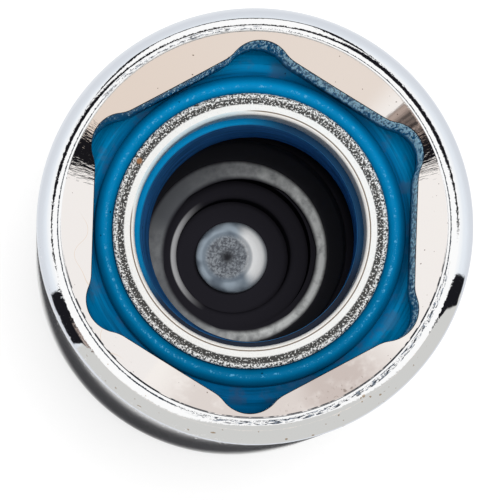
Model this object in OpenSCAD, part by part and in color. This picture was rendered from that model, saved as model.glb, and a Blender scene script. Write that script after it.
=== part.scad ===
// Spark plug socket: a round deep socket with a six point mouth, a moulded insert that carries a
// ring magnet, a stepped plug bore with a pin on its floor, and a square drive hole at the foot.
// The socket stands on its drive end, with its axis on Z and the mouth at the top.
// Depths are counted down from the crown of the rim.

/* [Mouth] */
// Width of the six point opening across its flats
hex_af = 16.1; // [15.6:0.05:17]
// Radius of the round lobe in each corner of the opening
lobe_r = 1.65; // [1.3:0.05:2]
// Radius that blends a lobe into the flat beside it
blend_r = 1.75; // [1.2:0.05:2.5]
// Length of the six point opening, from the rim to the corner ledges
hex_len = 14.5; // [13.5:0.1:18]
// How far the lead-in cone reaches outside the corner lobes
lead_in_over = 0.285; // [0.2:0.005:0.5]
// Slope of the lead-in cone against the rim
lead_in_slope = 38; // [30:1:44]
// Radius of the rounded rim between the lead-in and the outer bevel
rim_r = 0.325; // [0.2:0.005:0.45]
// Slope of the outer bevel against the rim
bevel_slope = 50; // [40:1:60]
// Radius where the outer bevel runs into the side
bevel_edge_r = 0.5; // [0.2:0.05:1]

/* [Body] */
// Steel left outside the corner lobes
corner_wall = 1.6; // [1.3:0.05:3]
// Diameter of the reduced drive end
drive_end_d = 18.8; // [17:0.1:20]
// Length of the reduced drive end
drive_end_len = 15.5; // [10:0.1:18]
// Height of the taper from the drive end to the body
taper_len = 2.5; // [1.5:0.1:5]
// Bevel round the foot of the drive end
foot_bevel = 0.8; // [0.3:0.05:1.5]

/* [Bores] */
// Diameter of the round seat below the opening, for the insert's sleeve
seat_d = 16; // [15:0.05:16]
// Length of that seat
seat_len = 15.7; // [12:0.1:18]
// Diameter of the plug bore below the insert
plug_bore_d = 11.16; // [10.6:0.02:11.5]
// Straight length of the plug bore
plug_bore_len = 4; // [2:0.1:8]
// Diameter at the foot of the plug bore's taper
shoulder_d = 10; // [9:0.05:10.4]
// Length of the plug bore's taper, down to the shoulder
shoulder_taper_len = 8.1; // [5:0.1:12]
// Diameter of the hole below the shoulder
well_d = 8.24; // [7.6:0.02:8.8]
// Length of that hole
well_len = 5.6; // [4:0.1:8]
// Diameter of the floor recess that the pin stands in
recess_d = 6.28; // [5.6:0.02:7.2]
// Depth of that recess
recess_len = 4.6; // [3.5:0.1:6]
// Radius of the small chips in the shoulder's inner edge
chip_r = 0.4; // [0.2:0.05:0.7]
// Depth of those chips
chip_len = 1; // [0.5:0.1:2]

/* [Drive] */
// Steel between the floor recess and the drive hole
web_t = 5; // [4.5:0.1:8]
// Width of the square drive hole
drive_sq = 9.65; // [9.55:0.01:9.8]
// Depth of the square drive hole
drive_len = 12.5; // [11.5:0.1:15]
// Diameter of the drilled hole that the square was broached from
pilot_d = 10.1; // [9.9:0.05:10.6]
// Depth of the bevel round the mouth of the drive hole
drive_bevel = 0.9; // [0.4:0.05:1.4]
// Height of the detent groove above the foot
detent_z = 5.2; // [4:0.1:7]
// Radius of the detent groove's section
detent_r = 1.3; // [0.8:0.05:1.6]
// How far the detent groove cuts into the flats
detent_depth = 1.05; // [0.5:0.05:1.2]

/* [Insert] */
// Clearance between the insert and the steel round it
insert_clear = 0.1; // [0.05:0.01:0.2]
// Depth of the insert's corner shelves below the rim
shelf_depth = 9.7; // [9.2:0.1:11]
// Height of the rounded lip above the shelves
lip_h = 1.35; // [0.8:0.05:1.9]
// Gap between the lip and the insert's flats
lip_inset = 0.05; // [0.02:0.01:0.2]
// Radius at which the shelves start to slope down to the corners
shelf_crest_r = 8.55; // [8.2:0.05:8.9]
// Slope of the shelves' outer part
shelf_slope = 32; // [10:1:50]
// Diameter of the insert's throat, just below the magnet
throat_d = 11.32; // [11.1:0.02:11.56]
// Diameter of the bead that guides the plug's insulator, at the foot of the throat's taper
bead_d = 10.7; // [10.4:0.05:10.9]
// Straight length of that bead
bead_len = 2.5; // [1.5:0.1:4]
// Height from the bead's foot up to the magnet
bead_drop = 8.5; // [6:0.1:11]
// Diameter of the sleeve's bore below the bead
sleeve_bore_d = 12.6; // [12:0.05:13.2]
// Gap between the sleeve's foot and the floor of its seat
sleeve_gap = 0.2; // [0.1:0.05:0.5]

/* [Magnet] */
// Outside diameter of the ring magnet
magnet_d = 13.9; // [13.4:0.05:14.2]
// Inside diameter of the ring magnet
magnet_bore_d = 11.76; // [11.6:0.02:12.2]
// Height of the ring magnet
magnet_h = 4; // [3:0.1:5]
// How far the magnet's crown stands above the lip
magnet_rise = 0.35; // [0:0.05:0.8]
// Rounding of the magnet's outer edges
magnet_edge_r = 0.38; // [0.15:0.01:0.45]
// Rounding of the magnet's inner top edge
magnet_inner_r = 0.66; // [0.2:0.02:0.8]
// Clearance round the magnet in its pocket
magnet_clear = 0.05; // [0.02:0.01:0.15]

/* [Pin] */
// Diameter of the pin's head
pin_d = 3.94; // [3:0.02:4.6]
// Height of the pin's head above the recess floor
pin_h = 2; // [1.4:0.1:3]
// Rounding of the pin's shoulder
pin_round = 0.75; // [0.3:0.05:1]
// Diameter of the pin's stem in the web
pin_stem_d = 3; // [2:0.1:3.4]
// Length of the pin's stem
pin_stem_len = 3.2; // [2:0.1:3.6]
// Clearance round the stem
pin_clear = 0.02; // [0.01:0.01:0.05]
// Free depth below the stem
pin_stem_gap = 0.3; // [0.1:0.05:0.6]
// Radius of the centre mark in the pin's end
pin_mark_r = 0.26; // [0.1:0.02:0.4]

/* [Hidden] */

$fn = 96;
corners = 6;
// Angles of the chips round the shoulder, as worn
chip_angles = [4, 53, 132, 196, 259, 313];
// Length by which a cut runs out past an open face
run_out = 2;
arc_steps = 8;
blend_steps = 3;

// Depths of the steps inside, from the rim down
seat_floor = hex_len + seat_len;
taper_top = seat_floor + plug_bore_len;
shoulder = taper_top + shoulder_taper_len;
well_floor = shoulder + well_len;
recess_floor = well_floor + recess_len;
body_len = recess_floor + web_t + drive_len;

// Radii of the mouth, from the corner lobes out
tip_r = hex_af / 2 / cos(30);
lobe_x = tip_r - lobe_r;
rim_crown_r = tip_r + lead_in_over + rim_r * sin(lead_in_slope);
body_r = tip_r + corner_wall;

// Levels and radii of the insert and the magnet
insert_af = hex_af - 2 * insert_clear;
pocket_r = magnet_d / 2 + magnet_clear;
lip_outer_r = insert_af / 2 - lip_inset;
lip_round = (lip_outer_r - pocket_r) / 2;
magnet_depth = shelf_depth - lip_h - magnet_rise;
magnet_foot = magnet_depth + magnet_h;
bead_foot = magnet_foot + bead_drop;
sleeve_foot = seat_floor - sleeve_gap;
pin_z = body_len - recess_floor;

// Height above the foot of a depth below the rim
function up(depth) = body_len - depth;

// Points of an arc about a centre
function arc(centre, r, from, to, steps) =
    [for (i = [0:steps]) let (a = from + (to - from) * i / steps) centre + r * [cos(a), sin(a)]];

function turned(points, angle) =
    [for (p = points) [p[0] * cos(angle) - p[1] * sin(angle), p[0] * sin(angle) + p[1] * cos(angle)]];

function flipped(points) = [for (i = [len(points) - 1:-1:0]) [points[i][0], -points[i][1]]];

// One corner of the six point outline, pointing along X: blend, lobe, blend
function corner_points(inset) =
    let (
        lobe = lobe_r - inset,
        blend = blend_r + inset,
        rise = hex_af / 2 + blend_r,
        along = lobe_x * sin(30) - sqrt(pow(lobe_r + blend_r, 2) - pow(rise - lobe_x * cos(30), 2)),
        blend_centre = [rise * cos(30) + along * sin(30), rise * sin(30) - along * cos(30)],
        meet = atan2(blend_centre[1], blend_centre[0] - lobe_x),
        lobe_arc = arc([lobe_x, 0], lobe, -meet, meet, arc_steps),
        blend_arc = arc(blend_centre, blend, meet + 180, 210, blend_steps),
        blend_tail = [for (i = [1:blend_steps]) blend_arc[i]]
    )
    concat(flipped(blend_tail), lobe_arc, blend_tail);

// Six point outline with a corner on Y; inset draws it smaller all round
module six_point(inset = 0) {
    corner = corner_points(inset);
    polygon([for (k = [0:corners - 1]) each turned(corner, 90 + k * 360 / corners)]);
}

// Half section of the outside of the body, with the rim and the lead-in cone
module body_section() {
    rim_centre = [rim_crown_r, body_len - rim_r];
    rim_out = rim_centre + rim_r * [sin(bevel_slope), cos(bevel_slope)];
    rim_in = rim_centre + rim_r * [-sin(lead_in_slope), cos(lead_in_slope)];
    bevel_drop = (body_r - rim_out[0]) * tan(bevel_slope);
    edge_tangent = bevel_edge_r * tan((90 - bevel_slope) / 2);
    edge_centre = [body_r - bevel_edge_r, rim_out[1] - bevel_drop - edge_tangent];
    cone_r = hex_af / 2 - run_out;
    cone_z = rim_in[1] - (rim_in[0] - cone_r) * tan(lead_in_slope);
    polygon(concat(
        [
            [0, 0],
            [drive_end_d / 2 - foot_bevel, 0],
            [drive_end_d / 2, foot_bevel],
            [drive_end_d / 2, drive_end_len],
            [body_r, drive_end_len + taper_len]
        ],
        arc(edge_centre, bevel_edge_r, 0, 90 - bevel_slope, 4),
        arc(rim_centre, rim_r, 90 - bevel_slope, 90 + lead_in_slope, arc_steps),
        [[cone_r, cone_z], [0, cone_z]]
    ));
}

// Half section of the stepped bore below the six point opening
module bore_section() {
    polygon([
        [0, up(recess_floor)],
        [recess_d / 2, up(recess_floor)],
        [recess_d / 2, up(well_floor)],
        [well_d / 2, up(well_floor)],
        [well_d / 2, up(shoulder)],
        [shoulder_d / 2, up(shoulder)],
        [plug_bore_d / 2, up(taper_top)],
        [plug_bore_d / 2, up(seat_floor)],
        [seat_d / 2, up(seat_floor)],
        [seat_d / 2, up(hex_len - run_out)],
        [0, up(hex_len - run_out)]
    ]);
}

// Square drive hole with its drilled core, mouth bevel and detent groove
module drive_hole() {
    pilot_r = pilot_d / 2;
    translate([-drive_sq / 2, -drive_sq / 2, -run_out])
        cube([drive_sq, drive_sq, drive_len + run_out]);
    translate([0, 0, -run_out])
        cylinder(r = pilot_r, h = drive_len + run_out);
    translate([0, 0, -run_out])
        cylinder(r1 = pilot_r + drive_bevel + run_out, r2 = pilot_r, h = drive_bevel + run_out);
    translate([0, 0, detent_z])
        rotate_extrude()
            translate([drive_sq / 2 + detent_depth - detent_r, 0])
                circle(r = detent_r);
}

module socket_body() {
    color("gainsboro")
        difference() {
            rotate_extrude()
                body_section();
            rotate_extrude()
                bore_section();
            translate([0, 0, up(hex_len)])
                linear_extrude(hex_len + run_out)
                    six_point();
            for (a = chip_angles)
                rotate([0, 0, a])
                    translate([well_d / 2, 0, up(shoulder + chip_len)])
                        cylinder(r = chip_r, h = chip_len + chip_r);
            translate([0, 0, pin_z - pin_stem_len - pin_stem_gap])
                cylinder(r = pin_stem_d / 2 + pin_clear, h = pin_stem_len + pin_stem_gap + run_out);
            drive_hole();
        }
}

// Half section of the rounded lip round the magnet's pocket
module lip_section() {
    lip_z = up(shelf_depth) + lip_h - lip_round;
    polygon(concat(
        [[pocket_r, up(hex_len)], [lip_outer_r, up(hex_len)]],
        arc([pocket_r + lip_round, lip_z], lip_round, 0, 180, 2 * arc_steps)
    ));
}

// Half section of what slopes away from the outer part of the corner shelves
module shelf_slope_section() {
    far_r = tip_r + run_out;
    polygon([
        [shelf_crest_r, up(shelf_depth)],
        [far_r, up(shelf_depth) - (far_r - shelf_crest_r) * tan(shelf_slope)],
        [far_r, up(shelf_depth) + run_out],
        [shelf_crest_r, up(shelf_depth) + run_out]
    ]);
}

// Half section of the insert's hole: sleeve, bead, throat and magnet pocket
module insert_hole_section() {
    polygon([
        [0, up(sleeve_foot + run_out)],
        [sleeve_bore_d / 2, up(sleeve_foot + run_out)],
        [sleeve_bore_d / 2, up(bead_foot)],
        [bead_d / 2, up(bead_foot)],
        [bead_d / 2, up(bead_foot - bead_len)],
        [throat_d / 2, up(magnet_foot)],
        [pocket_r, up(magnet_foot)],
        [pocket_r, up(magnet_depth - run_out)],
        [0, up(magnet_depth - run_out)]
    ]);
}

module retainer_insert() {
    color([0.0, 0.43, 0.67])
        difference() {
            union() {
                difference() {
                    translate([0, 0, up(hex_len)])
                        linear_extrude(hex_len - shelf_depth)
                            six_point(insert_clear);
                    rotate_extrude()
                        shelf_slope_section();
                }
                rotate_extrude()
                    lip_section();
                translate([0, 0, up(sleeve_foot)])
                    cylinder(r = seat_d / 2 - insert_clear, h = sleeve_foot - hex_len);
            }
            rotate_extrude()
                insert_hole_section();
        }
}

module ring_magnet() {
    inner = magnet_bore_d / 2;
    outer = magnet_d / 2;
    color("silver")
        rotate_extrude()
            polygon(concat(
                [[inner, up(magnet_foot)]],
                arc([outer - magnet_edge_r, up(magnet_foot) + magnet_edge_r], magnet_edge_r, -90, 0, 4),
                arc([outer - magnet_edge_r, up(magnet_depth) - magnet_edge_r], magnet_edge_r, 0, 90, arc_steps),
                arc([inner + magnet_inner_r, up(magnet_depth) - magnet_inner_r], magnet_inner_r, 90, 180, arc_steps)
            ));
}

module centre_pin() {
    head_r = pin_d / 2;
    top = pin_z + pin_h;
    stem_r = pin_stem_d / 2;
    color("lightsteelblue")
        rotate_extrude()
            polygon(concat(
                [
                    [0, pin_z - pin_stem_len],
                    [stem_r, pin_z - pin_stem_len],
                    [stem_r, pin_z],
                    [head_r, pin_z]
                ],
                arc([head_r - pin_round, top - pin_round], pin_round, 0, 90, arc_steps),
                [[pin_mark_r, top], [0, top - pin_mark_r]]
            ));
}

socket_body();
retainer_insert();
ring_magnet();
centre_pin();
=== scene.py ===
"""Looks of a spark plug socket: a plated steel body, a moulded insert, a ring magnet and a centre pin.

The socket stands on its drive end with its axis on Z and its mouth at the top. Sizes are in millimetres, as
in the part's source, and become metres where a ring of points is placed. Every piece is modelled ring by
ring: an edge loop is extruded and set to its next size, so that all columns of faces run straight down.
"""

import logging
import math
from abc import ABC, abstractmethod
from collections.abc import Callable, Sequence
from dataclasses import dataclass, field, replace
from enum import Enum
from typing import ClassVar

import bmesh
import bpy
from mathutils import Matrix, Vector

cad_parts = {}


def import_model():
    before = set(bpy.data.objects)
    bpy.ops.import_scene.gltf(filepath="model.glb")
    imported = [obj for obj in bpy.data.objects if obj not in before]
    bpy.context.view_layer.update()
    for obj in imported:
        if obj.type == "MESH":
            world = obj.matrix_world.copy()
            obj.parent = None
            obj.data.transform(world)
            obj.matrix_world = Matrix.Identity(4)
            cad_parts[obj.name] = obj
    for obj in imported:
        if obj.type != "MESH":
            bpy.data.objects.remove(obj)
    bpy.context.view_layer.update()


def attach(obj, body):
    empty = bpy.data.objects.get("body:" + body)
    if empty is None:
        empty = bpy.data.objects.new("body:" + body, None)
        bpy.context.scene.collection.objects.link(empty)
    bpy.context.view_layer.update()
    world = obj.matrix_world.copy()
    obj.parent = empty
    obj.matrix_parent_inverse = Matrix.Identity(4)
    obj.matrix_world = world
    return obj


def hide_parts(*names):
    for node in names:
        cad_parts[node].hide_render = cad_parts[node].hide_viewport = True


log = logging.getLogger("spark_plug_socket")

MM = 0.001
PICTURE_PX = 500

Size = float | Callable[[float], float]
Point = tuple[float, float]
Colour = tuple[float, float, float]
Limits = tuple[float, float] | tuple[float, float, float]
Course = tuple[Point, ...]

WHITE: Colour = (1.0, 1.0, 1.0)


class Slot(Enum):
    """Material slots of the record."""

    PLATED_STEEL = "plated_steel"
    BLUE_PLASTIC = "blue_plastic"
    NICKEL_MAGNET = "nickel_magnet"
    BRIGHT_PIN = "bright_pin"


class Closing(Enum):
    """How the last ring of a form is closed."""

    POLE = "pole"
    FIRST_RING = "first ring"


# Drawing of sections


@dataclass(frozen=True)
class Ring:
    """One loop round the axis; its radius and height may change with the azimuth.

    Attributes:
        radius: distance from the axis in millimetres, or a function of the azimuth in radians.
        height: height above the foot in millimetres, or a function of the azimuth in radians.
    """

    radius: Size
    height: Size

    def point(self, azimuth: float) -> Vector:
        """Gives the ring's point at an azimuth.

        Args:
            azimuth: angle round the axis in radians.

        Returns:
            The point in metres.
        """
        radius = self.radius(azimuth) if callable(self.radius) else self.radius
        height = self.height(azimuth) if callable(self.height) else self.height
        return Vector((radius * math.cos(azimuth), radius * math.sin(azimuth), height)) * MM


def arc(centre: Point, radius: float, start: float, end: float, steps: int) -> list[Point]:
    """Draws an arc of a half section.

    Args:
        centre: centre as radius and height.
        radius: radius of the arc.
        start: first angle in degrees, counted from outwards to up.
        end: last angle in degrees.
        steps: number of chords.

    Returns:
        The points from start to end.
    """
    angles = [math.radians(start + (end - start) * i / steps) for i in range(steps + 1)]
    return [(centre[0] + radius * math.cos(a), centre[1] + radius * math.sin(a)) for a in angles]


def rounded(points: Sequence[Point], radius: float, steps: int = 4) -> list[Point]:
    """Rounds the corners of a half section and adds a support point on each side of every rounding.

    Args:
        points: corners of the section, the first and last ones being its ends.
        radius: radius of the rounding, made smaller where an edge is short.
        steps: number of chords in each rounding.

    Returns:
        The section with rounded corners.
    """
    drawn: list[Point] = [points[0]]
    for before, corner, after in zip(points, points[1:], points[2:]):
        here = Vector(corner)
        into = here - Vector(before)
        away = Vector(after) - here
        turn = into.angle_signed(away)
        half = abs(math.tan(turn / 2))
        if half < 0.02:
            drawn.append(corner)
            continue
        reach = min(radius * half, 0.4 * into.length, 0.4 * away.length)
        into.normalize()
        away.normalize()
        start = here - into * reach
        side = Vector((into.y, -into.x)) if turn > 0 else Vector((-into.y, into.x))
        middle = start + side * (reach / half)
        drawn.append(tuple(start - into * reach * 0.4))
        for i in range(steps + 1):
            swing = Matrix.Rotation(-turn * i / steps, 2)
            drawn.append(tuple(middle + swing @ (start - middle)))
        drawn.append(tuple(here + away * reach * 1.4))
    drawn.append(points[-1])
    return drawn


def turned(points: Sequence[Point]) -> list[Ring]:
    """Makes plain round rings from the points of a half section."""
    return [Ring(radius, height) for radius, height in points]


def off_centre(radius: float, off: float, toward_deg: float) -> Callable[[float], float]:
    """Makes the radius function of a circle that lies a little off the axis.

    Args:
        radius: radius of the circle.
        off: distance of its centre from the axis.
        toward_deg: azimuth of its centre in degrees.

    Returns:
        The distance from the axis to the circle by azimuth in radians.
    """

    def reach(azimuth: float) -> float:
        """Gives the distance at an azimuth."""
        swing = azimuth - math.radians(toward_deg)
        return off * math.cos(swing) + math.sqrt(radius**2 - (off * math.sin(swing)) ** 2)

    return reach


@dataclass(frozen=True)
class SixPoint:
    """Six point outline with a round lobe in each corner and a corner on Y.

    Attributes:
        across_flats: width of the opening.
        lobe_r: radius of the lobes.
        blend_r: radius that blends a lobe into the flats.
        off: distance of the opening's centre from the axis.
        off_deg: azimuth of the opening's centre in degrees.
    """

    across_flats: float = 16.1
    lobe_r: float = 1.65
    blend_r: float = 1.75
    off: float = 0.08
    off_deg: float = 304.0

    @property
    def tip_r(self) -> float:
        """Distance from the axis to the tip of a lobe."""
        return self.across_flats / 2 / math.cos(math.pi / 6)

    def radius(self, azimuth: float, inset: float = 0.0) -> float:
        """Measures the outline along one azimuth from the axis, which it lies a little off.

        Args:
            azimuth: angle round the axis in radians.
            inset: distance by which the outline is drawn smaller all round.

        Returns:
            Distance from the axis to the outline.
        """
        swing = azimuth - math.radians(self.off_deg)
        turn = self.off * math.sin(swing) / self.centred_radius(azimuth, inset)
        return self.centred_radius(azimuth + turn, inset) + self.off * math.cos(swing)

    def centred_radius(self, azimuth: float, inset: float) -> float:
        """Measures the outline along one azimuth from its own centre.

        Args:
            azimuth: angle round the centre in radians.
            inset: distance by which the outline is drawn smaller all round.

        Returns:
            Distance from the centre to the outline.
        """
        sixth = math.pi / 6
        off = abs(math.remainder(azimuth - math.pi / 2, 2 * sixth))
        lobe_x = self.tip_r - self.lobe_r
        lobe = self.lobe_r - inset
        blend = self.blend_r + inset
        rise = self.across_flats / 2 + self.blend_r
        gap = rise - lobe_x * math.cos(sixth)
        along = lobe_x * math.sin(sixth) - math.sqrt((self.lobe_r + self.blend_r) ** 2 - gap**2)
        blend_x = rise * math.cos(sixth) + along * math.sin(sixth)
        blend_y = rise * math.sin(sixth) - along * math.cos(sixth)
        meet = math.atan2(blend_y, blend_x - lobe_x)
        lobe_end = math.atan2(lobe * math.sin(meet), lobe_x + lobe * math.cos(meet))
        blend_end = math.atan2(blend_y - blend * math.sin(sixth), blend_x - blend * math.cos(sixth))
        if off <= lobe_end:
            return lobe_x * math.cos(off) + math.sqrt(lobe**2 - (lobe_x * math.sin(off)) ** 2)
        if off <= blend_end:
            reach = math.hypot(blend_x, blend_y)
            swing = off - math.atan2(blend_y, blend_x)
            return reach * math.cos(swing) - math.sqrt(blend**2 - (reach * math.sin(swing)) ** 2)
        return (self.across_flats / 2 - inset) / math.cos(sixth - off)


@dataclass(frozen=True)
class LeadIn:
    """The cone of the mouth, which is cut a little off the axis.

    Attributes:
        slope_deg: tilt of the cone in degrees.
        out: how far out it is cut all round, in millimetres.
        off: distance of its centre from the axis in millimetres.
        off_deg: azimuth of its centre in degrees.
    """

    slope_deg: float = 38.0
    out: float = 0.035
    off: float = 0.055
    off_deg: float = 92.0

    def reach(self, azimuth: float) -> float:
        """Gives how far out the cone is cut at an azimuth in radians."""
        return self.out + self.off * math.cos(azimuth - math.radians(self.off_deg))


# Modelling


def clear_selection() -> None:
    """Goes back to object mode with nothing selected."""
    if bpy.context.object is not None and bpy.context.object.mode != "OBJECT":
        bpy.ops.object.mode_set(mode="OBJECT")
    bpy.ops.object.select_all(action="DESELECT")


def model_rings(name: str, rings: Sequence[Ring], columns: int, closing: Closing) -> bpy.types.Object:
    """Models a form ring by ring from a circle.

    Args:
        name: name of the piece.
        rings: the rings in the order in which they are extruded.
        columns: number of points in each ring.
        closing: whether the form closes at poles on the axis or back on its first ring.

    Returns:
        The piece, at the origin with its place in its mesh, shaded smooth up to its edges.
    """
    clear_selection()
    fill = "TRIFAN" if closing is Closing.POLE else "NOTHING"
    bpy.ops.mesh.primitive_circle_add(vertices=columns, radius=MM, fill_type=fill)
    piece = bpy.context.object
    piece.name = name
    piece.data.name = name
    bpy.ops.object.mode_set(mode="EDIT")
    bpy.ops.mesh.select_mode(type="EDGE")
    mesh = bmesh.from_edit_mesh(piece.data)
    first_height = rings[0].point(0.0).z
    for vert in mesh.verts:
        middle = vert.co.length < MM / 2
        vert.co = Vector((0, 0, first_height)) if middle else rings[0].point(math.atan2(vert.co.y, vert.co.x))
    bpy.ops.mesh.select_all(action="DESELECT")
    for edge in mesh.edges:
        edge.select = edge.is_boundary or edge.is_wire
    bmesh.update_edit_mesh(piece.data)
    for ring in rings[1:]:
        bpy.ops.mesh.extrude_region_move()
        mesh = bmesh.from_edit_mesh(piece.data)
        for vert in [v for v in mesh.verts if v.select]:
            vert.co = ring.point(math.atan2(vert.co.y, vert.co.x))
        bmesh.update_edit_mesh(piece.data)
    if closing is Closing.POLE:
        bpy.ops.mesh.extrude_region_move()
        bpy.ops.mesh.merge(type="CENTER")
    bpy.ops.mesh.select_all(action="SELECT")
    bpy.ops.mesh.remove_doubles(threshold=MM * 1e-3)
    bpy.ops.mesh.normals_make_consistent(inside=False)
    bpy.ops.object.mode_set(mode="OBJECT")
    bpy.ops.object.shade_smooth_by_angle(angle=math.radians(30))
    return piece


# Shader wiring

Socket = bpy.types.NodeSocket
Feed = float | Colour | Socket


class Wiring:
    """Adds and links the nodes of one shader tree."""

    def __init__(self, tree: bpy.types.NodeTree) -> None:
        """Starts with an empty tree."""
        self.tree = tree
        tree.nodes.clear()

    def add(self, kind: str, settings: dict | None = None, feeds: dict | None = None) -> bpy.types.Node:
        """Adds a node.

        Args:
            kind: type of the node.
            settings: properties of the node.
            feeds: values or sockets for its inputs, by name or index.

        Returns:
            The node.
        """
        node = self.tree.nodes.new(kind)
        for key, value in (settings or {}).items():
            setattr(node, key, value)
        self.fill(node, feeds or {})
        return node

    def fill(self, node: bpy.types.Node, feeds: dict) -> None:
        """Feeds several inputs of a node, by name or index."""
        for key, value in feeds.items():
            self.feed(node.inputs[key], value)

    def feed(self, socket: Socket, value: Feed) -> None:
        """Links a socket to an input, or sets the input's own value."""
        if isinstance(value, bpy.types.NodeSocket):
            self.tree.links.new(value, socket)
        elif isinstance(value, tuple) and len(value) == 3 and socket.type == "RGBA":
            socket.default_value = (*value, 1.0)
        else:
            socket.default_value = value

    def math(self, operation: str, first: Feed, second: Feed = 0.0, third: Feed = 0.0) -> Socket:
        """Adds a Math node and gives its result."""
        settings = {"operation": operation}
        return self.add("ShaderNodeMath", settings, {0: first, 1: second, 2: third}).outputs[0]

    def vector(self, operation: str, feeds: dict, output: int | str = 0) -> Socket:
        """Adds a Vector Math node and gives one of its results."""
        return self.add("ShaderNodeVectorMath", {"operation": operation}, feeds).outputs[output]

    def combine(self, feeds: dict) -> Socket:
        """Puts numbers together into a vector."""
        return self.add("ShaderNodeCombineXYZ", None, feeds).outputs[0]

    def band(self, value: Feed, zero: float, one: float) -> Socket:
        """Gives a smooth step from 0 at the value zero to 1 at the value one."""
        low, high = min(zero, one), max(zero, one)
        feeds = {"Value": value, "From Min": low, "From Max": high}
        feeds |= {"To Min": 0.0, "To Max": 1.0} if zero < one else {"To Min": 1.0, "To Max": 0.0}
        return self.add("ShaderNodeMapRange", {"interpolation_type": "SMOOTHSTEP"}, feeds).outputs["Result"]

    def window(self, value: Socket, start: float, end: float, soft: float) -> Socket:
        """Gives a mask of the values between two limits, with soft ends outside them."""
        return self.both(self.band(value, start - soft, start), self.band(value, end + soft, end))

    def mask(self, value: Socket, limits: Limits) -> Socket:
        """Gives a band for two limits and a window for three."""
        return self.band(value, *limits) if len(limits) == 2 else self.window(value, *limits)

    def either(self, *masks: Socket) -> Socket:
        """Gives the largest of several masks."""
        result = masks[0]
        for mask in masks[1:]:
            result = self.math("MAXIMUM", result, mask)
        return result

    def both(self, *masks: Socket) -> Socket:
        """Gives the product of several masks."""
        result = masks[0]
        for mask in masks[1:]:
            result = self.math("MULTIPLY", result, mask)
        return result

    def mix(self, share: Feed, first: Feed, second: Feed, blend: str = "MIX") -> Socket:
        """Mixes two colours and gives the result."""
        settings = {"data_type": "RGBA", "blend_type": blend}
        return self.add("ShaderNodeMix", settings, {0: share, 6: first, 7: second}).outputs[2]

    def blend(self, share: Feed, first: Feed, second: Feed) -> Socket:
        """Mixes two numbers and gives the result."""
        settings = {"data_type": "FLOAT"}
        return self.add("ShaderNodeMix", settings, {0: share, 2: first, 3: second}).outputs[0]

    def noise(self, place: Socket, scale: float, detail: float, roughness: float) -> Socket:
        """Adds a noise texture and gives its value."""
        feeds = {"Vector": place, "Scale": scale, "Detail": detail, "Roughness": roughness}
        return self.add("ShaderNodeTexNoise", None, feeds).outputs[0]

    def ramp(self, value: Feed, stops: Sequence[tuple[float, Colour]]) -> Socket:
        """Adds a colour ramp and gives its colour."""
        node = self.add("ShaderNodeValToRGB", None, {0: value})
        marks = node.color_ramp.elements
        while len(marks) < len(stops):
            marks.new(0.5)
        for mark, (place, colour) in zip(marks, stops):
            mark.position = place
            mark.color = (*colour, 1.0)
        return node.outputs["Color"]

    def bump(
        self, height: Socket, distance: float, normal: Socket | None = None, strength: Feed = 1.0
    ) -> Socket:
        """Adds a bump and gives its normal.

        Args:
            height: height of the surface, from 0 to 1.
            distance: what a height of 1 stands for, in metres.
            normal: normal of another bump that this one is laid on.
            strength: share of the bump that shows.

        Returns:
            The bumped normal.
        """
        feeds: dict = {"Height": height, "Distance": distance, "Strength": strength}
        if normal is not None:
            feeds["Normal"] = normal
        return self.add("ShaderNodeBump", None, feeds).outputs[0]


@dataclass(frozen=True)
class Zone:
    """Part of a piece, given by limits of its coordinates.

    Two limits are the values where a smooth step is 0 and 1. Three are a window's start, end and softness.

    Attributes:
        radius: limits of the distance from the axis in millimetres.
        height: limits of the height above the foot in millimetres.
        azimuth: limits of the angle round the axis in degrees.
    """

    radius: Limits | None = None
    height: Limits | None = None
    azimuth: Limits | None = None


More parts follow.
